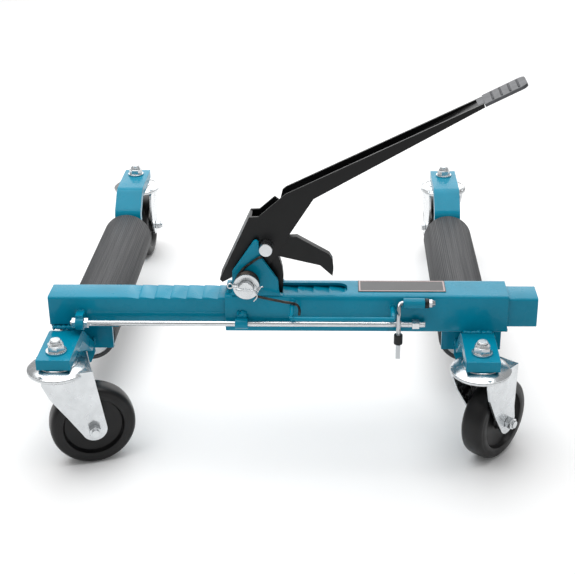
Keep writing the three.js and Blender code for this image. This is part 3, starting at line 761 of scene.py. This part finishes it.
PLATED = (
    "pivot_pin", "pivot_washer", "lever_pin", "rod_nut_outer", "rod_nut_inner", "rod_nut_end", "stop_rod",
)


class DOLLY_OT_fasteners(bpy.types.Operator):
    """Pins, washer, nuts, split pin and the threaded stop rod"""

    bl_idname = "dolly.fasteners"
    bl_label = "Fasteners"

    def execute(self, context):
        for node in PLATED:
            softened(node, 0.0006 if "pin" in node else 0.0003, segments=3)
        split_pin()
        low, high = local("stop_rod")
        centre = Vector((0, middle("stop_rod").y, middle("stop_rod").z))
        shift = ORIGIN.x * 1000
        for word, start, end in (("outer", low.x + 0.6, low.x + 26), ("end", high.x - 22, high.x - 0.6)):
            facts = (centre, (1, 0, 0), start + shift, end + shift, 3.6, 1.25)
            thread("stop_rod_thread_" + word, "sliding_beam", facts)
        return {"FINISHED"}


def split_pin():
    """Split pin: an eye at one side of the pivot pin, and two legs opened out at the other."""
    pin = (middle("pivot_pin") - ORIGIN) * 1000
    x, z = pin.x, pin.z
    through = [
        (x - 17, -47.5, z + 3), (x - 11.8, -48, z + 1.5), (x - 11.3, -51.8, z + 1),
        (x - 6, -53.2, z + 0.6), (x + 2, -53.2, z), (x + 10.5, -52.4, z - 1), (x + 14, -48, z - 4),
    ]
    upper = [*through, (x + 18, -47, z + 1), (x + 21, -46.5, z + 2)]
    lower = [*through[:-1], (x + 13.5, -48, z - 10), (x + 9, -46.8, z - 17)]
    for word, path in (("upper", upper), ("lower", lower)):
        offset = 0.45 if word == "upper" else -0.45
        points = curve_through([at(px, py, pz + offset) for px, py, pz in path])
        item = swept("split_pin_leg_" + word, points, 0.0009, "zinc_plate", 8)
        fit(item, "fixed_frame", ("split_pin",) if word == "upper" else ())
    angles = [i * math.pi / 12 for i in range(24)]
    eye = [at(x - 19.5 + 3.2 * math.cos(a), -47.3, z + 3.5 + 3.2 * math.sin(a)) for a in angles]
    fit(swept("split_pin_eye", eye + eye[:1], 0.0009, "zinc_plate", 8), "fixed_frame")


class DOLLY_OT_spring(bpy.types.Operator):
    """Torsion return spring wound round the pivot pin"""

    bl_idname = "dolly.spring"
    bl_label = "Return spring"

    def execute(self, context):
        sizes = context_sizes()
        pivot = (middle("pivot_pin") - ORIGIN) * 1000
        pin = (middle("lever_pin") - ORIGIN) * 1000
        x, z = pivot.x, pivot.z
        start, end = math.radians(144), math.radians(-63.4)
        sweep = start - end + 2 * math.pi * sizes.coils
        steps = 30 * (sizes.coils + 1)
        mean, first_y, last_y = 14.0, -27.2, -39.2
        coil = []
        for i in range(steps + 1):
            t = i / steps
            angle = start - sweep * t
            y = first_y + (last_y - first_y) * t
            coil.append(at(x + mean * math.cos(angle), y, z + mean * math.sin(angle)))
        upper = curve_through([
            at(pin.x - 5, -28, 264.2), at(-15, -28, 262.6),
            at(x - 2, -27.6, z + 20), at(x - 8.5, -27.3, z + 12),
        ])
        lower = curve_through([
            at(x + 9.5, -39, z - 13.4), at(x + 20, -38.5, z - 16.5), at(18, -37.5, 207.6),
            at(27.5, -37, 205.8), at(34, -36.4, 202.5), at(36.5, -36.2, 196), at(36, -36, 189),
        ])
        item = swept("return_spring_look", upper + coil + lower, sizes.wire, "dark_steel", 12)
        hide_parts("return_spring")
        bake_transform(item)
        return {"FINISHED"}


# Foot pad, in millimetres along the pad from its near edge, across it and up from its underside.
PAD_THICK = 4.0
PAD_MOUNT_AT = 17.0
PAD_LONG, PAD_HALF, PAD_CORNER = 55, 19, 8
TONGUE_BACK, TONGUE_FRONT, TONGUE_HALF, TONGUE_UNDER = -8, 1, 11.8, 2.3
TEETH, TOOTH_PITCH, TOOTH_HALF, TOOTH_LONG, TOOTH_RISE = 10, 3.1, 1.2, 3, 1.2
TOOTH_ROWS, FIRST_ROW, ROW_PITCH = 4, 10, 11


def serrated_pad():
    """Foot pad: a cast plate with rounded outer corners and rows of small gripping teeth."""
    mount = MOUNTS["tread_face"]
    up = Vector(mount["axis"]).normalized()
    along = Vector((up.z, 0, -up.x))
    across = Vector((0, 1, 0))
    origin = Vector(mount["pos_m"]) - up * PAD_THICK / 1000 - along * PAD_MOUNT_AT / 1000
    shape = bmesh.new()

    def corner(u, v, w):
        return shape.verts.new(origin + (along * u + across * v + up * w) / 1000)

    def slab(outline, low, high, shrink=0.0):
        mid = [sum(c) / len(outline) for c in zip(*outline)]
        bottom = [corner(u, v, low) for u, v in outline]
        top = [corner(u + (mid[0] - u) * shrink, v + (mid[1] - v) * shrink, high) for u, v in outline]
        shape.faces.new(bottom[::-1])
        shape.faces.new(top)
        for i in range(len(outline)):
            j = (i + 1) % len(outline)
            shape.faces.new((bottom[i], bottom[j], top[j], top[i]))

    outline = [(0, -PAD_HALF)]
    for sign, first_angle in ((-1, -90), (1, 0)):
        for k in range(9):
            a = math.radians(first_angle + k * 11.25)
            u = PAD_LONG - PAD_CORNER + PAD_CORNER * math.cos(a)
            outline.append((u, sign * (PAD_HALF - PAD_CORNER) + PAD_CORNER * math.sin(a)))
    outline.append((0, PAD_HALF))
    slab(outline, 0, PAD_THICK)
    tongue = [
        (TONGUE_BACK, -TONGUE_HALF), (TONGUE_FRONT, -TONGUE_HALF),
        (TONGUE_FRONT, TONGUE_HALF), (TONGUE_BACK, TONGUE_HALF),
    ]
    slab(tongue, TONGUE_UNDER, PAD_THICK)
    for row in range(TOOTH_ROWS):
        u = FIRST_ROW + row * ROW_PITCH
        for k in range(TEETH):
            v = (k - (TEETH - 1) / 2) * TOOTH_PITCH
            tooth = [
                (u, v - TOOTH_HALF), (u + TOOTH_LONG, v - TOOTH_HALF),
                (u + TOOTH_LONG, v + TOOTH_HALF), (u, v + TOOTH_HALF),
            ]
            slab(tooth, PAD_THICK - 0.1, PAD_THICK + TOOTH_RISE, 0.45)
    mesh = bpy.data.meshes.new("tread_pad_look")
    bmesh.ops.recalc_face_normals(shape, faces=shape.faces)
    shape.to_mesh(mesh)
    shape.free()
    item = thing("tread_pad_look", mesh, "tread_cast")
    bevel = item.modifiers.new("Cast edges", "BEVEL")
    bevel.width = 0.0003
    bevel.segments = 2
    bevel.limit_method = "ANGLE"
    bevel.harden_normals = True
    return fit(item, "pedal", ("tread_pad",))


class DOLLY_OT_lever(bpy.types.Operator):
    """Pedal channel, foot pad, pawls and the sleeve that carries the drive pawl"""

    bl_idname = "dolly.lever"
    bl_label = "Pedal and pawls"

    def execute(self, context):
        softened("pedal_channel", 0.0008, segments=3)
        softened("drive_pawl", 0.0012, segments=3)
        softened("holding_pawl", 0.0008)
        softened("pawl_bush", 0.0003)
        serrated_pad()
        return {"FINISHED"}


class DOLLY_OT_latch(bpy.types.Operator):
    """Transport latch: plated rod, collar, domed nut and the rubber bush beside its sleeve"""

    bl_idname = "dolly.latch"
    bl_label = "Transport latch"

    def execute(self, context):
        softened("latch_rod", 0.0003, 50)
        softened("latch_collar", 0.0008, segments=3)
        softened("latch_nut", 0.0004)
        low, high = local("latch_sleeve")
        nut = local("latch_nut")[0].x
        centre = Vector((0, middle("latch_nut").y, middle("latch_nut").z))
        start, end = high.x + 0.2, nut - 0.3
        shift = ORIGIN.x * 1000
        profile = [(3.3, start), (5.6, start), (6.2, start + 0.8), (6.2, end - 0.8), (5.6, end), (3.3, end)]
        profile = [(r, h + shift) for r, h in profile]
        item = turned("latch_bush", profile, centre, (1, 0, 0), "black_plastic", 40)
        fit(item, "fixed_frame")
        return {"FINISHED"}


class DOLLY_OT_plate(bpy.types.Operator):
    """Blank plate on the tube with a pale printed border"""

    bl_idname = "dolly.plate"
    bl_label = "Blank plate"

    def execute(self, context):
        softened("rating_plate", 0.0002)
        low, high = local("rating_plate")
        inset, line, rise = 1.2, 1.6, 0.12
        outer = (low.x + inset, high.x - inset, low.y + inset, high.y - inset)
        inner = (outer[0] + line, outer[1] - line, outer[2] + line, outer[3] - line)
        loops = []
        foot, crest = high.z - 0.1, high.z + rise
        for (x0, x1, y0, y1), z in ((outer, foot), (outer, crest), (inner, crest), (inner, foot)):
            loops.append([at(x0, y0, z), at(x1, y0, z), at(x1, y1, z), at(x0, y1, z)])
        item = thing("plate_border", rings_to_mesh("plate_border", loops), "plate_border")
        fit(item, "fixed_frame")
        return {"FINISHED"}


class DOLLY_OT_stage(bpy.types.Operator):
    """Pale floor, soft boxes, white surround and the camera"""

    bl_idname = "dolly.stage"
    bl_label = "Studio"

    def execute(self, context):
        studio = context.scene.dolly_studio
        mesh = bpy.data.meshes.new("floor")
        reach = 14
        corners = [(-reach, -reach, 0), (reach, -reach, 0), (reach, reach, 0), (-reach, reach, 0)]
        mesh.from_pydata(corners, [], [(0, 1, 2, 3)])
        floor = bpy.data.objects.new("floor", mesh)
        mesh.materials.append(finish_of("floor"))
        context.scene.collection.objects.link(floor)
        lights = [
            soft_box("overhead_box", (-0.3, 0.1, 2.2), (0, 0.2, 0.1), 2.6, studio.key),
            soft_box("front_box", (0.9, -2.3, 1.3), (0, 0, 0.2), 1.6, studio.fill),
            soft_box("back_box", (0.2, 3.0, 1.7), (0, 0.3, 0.2), 3.0, studio.back),
        ]
        world = context.scene.world or bpy.data.worlds.new("surround")
        context.scene.world = world
        world.use_nodes = True
        background = world.node_tree.nodes["Background"]
        background.inputs["Color"].default_value = (1, 1, 1, 1)
        background.inputs["Strength"].default_value = studio.sky
        context.scene.view_settings.view_transform = "Standard"
        camera = bpy.data.objects.new("camera", bpy.data.cameras.new("camera"))
        context.scene.collection.objects.link(camera)
        camera.data.lens = studio.lens
        camera.data.shift_x, camera.data.shift_y = studio.shift
        camera.location = ORIGIN + Vector(studio.station)
        camera.rotation_euler = Euler((math.pi / 2 - studio.pitch, studio.roll, studio.yaw), "XYZ")
        camera.data.clip_start = 0.05
        camera.data.clip_end = 60
        context.scene.camera = camera
        return {"FINISHED"}


def soft_box(name, place, target, size, power):
    """A square area light aimed at a point."""
    light = bpy.data.lights.new(name, "AREA")
    light.size = size
    light.energy = power
    item = bpy.data.objects.new(name, light)
    bpy.context.scene.collection.objects.link(item)
    item.location = place
    item.rotation_euler = (Vector(target) - Vector(place)).to_track_quat("-Z", "Y").to_euler()
    return item


# ---- panel and registration ----
OPERATORS = (
    DOLLY_OT_steelwork, DOLLY_OT_welds, DOLLY_OT_rollers, DOLLY_OT_casters, DOLLY_OT_fasteners,
    DOLLY_OT_spring, DOLLY_OT_lever, DOLLY_OT_latch, DOLLY_OT_plate, DOLLY_OT_stage,
)
GROUPS = {"dolly_finish": DollyFinish, "dolly_sizes": DollySizes, "dolly_studio": DollyStudio}


class DOLLY_PT_panel(bpy.types.Panel):
    """Sidebar list of the dolly's settings and pieces"""

    bl_label = "Wheel dolly"
    bl_idname = "DOLLY_PT_panel"
    bl_space_type = "VIEW_3D"
    bl_region_type = "UI"
    bl_category = "Dolly"

    def draw(self, context):
        for name, group in GROUPS.items():
            settings = getattr(context.scene, name)
            for prop in group.__annotations__:
                self.layout.prop(settings, prop)
        for operator in OPERATORS:
            self.layout.operator(operator.bl_idname)


def register():
    for item in (*GROUPS.values(), *OPERATORS, DOLLY_PT_panel):
        bpy.utils.register_class(item)
    for name, group in GROUPS.items():
        setattr(bpy.types.Scene, name, bpy.props.PointerProperty(type=group))


def unregister():
    for name in GROUPS:
        delattr(bpy.types.Scene, name)
    for item in reversed((*GROUPS.values(), *OPERATORS, DOLLY_PT_panel)):
        bpy.utils.unregister_class(item)


def main():
    register()
    for operator in OPERATORS:
        group, name = operator.bl_idname.split(".")
        getattr(getattr(bpy.ops, group), name)()


if __name__ == "__main__":
    main()
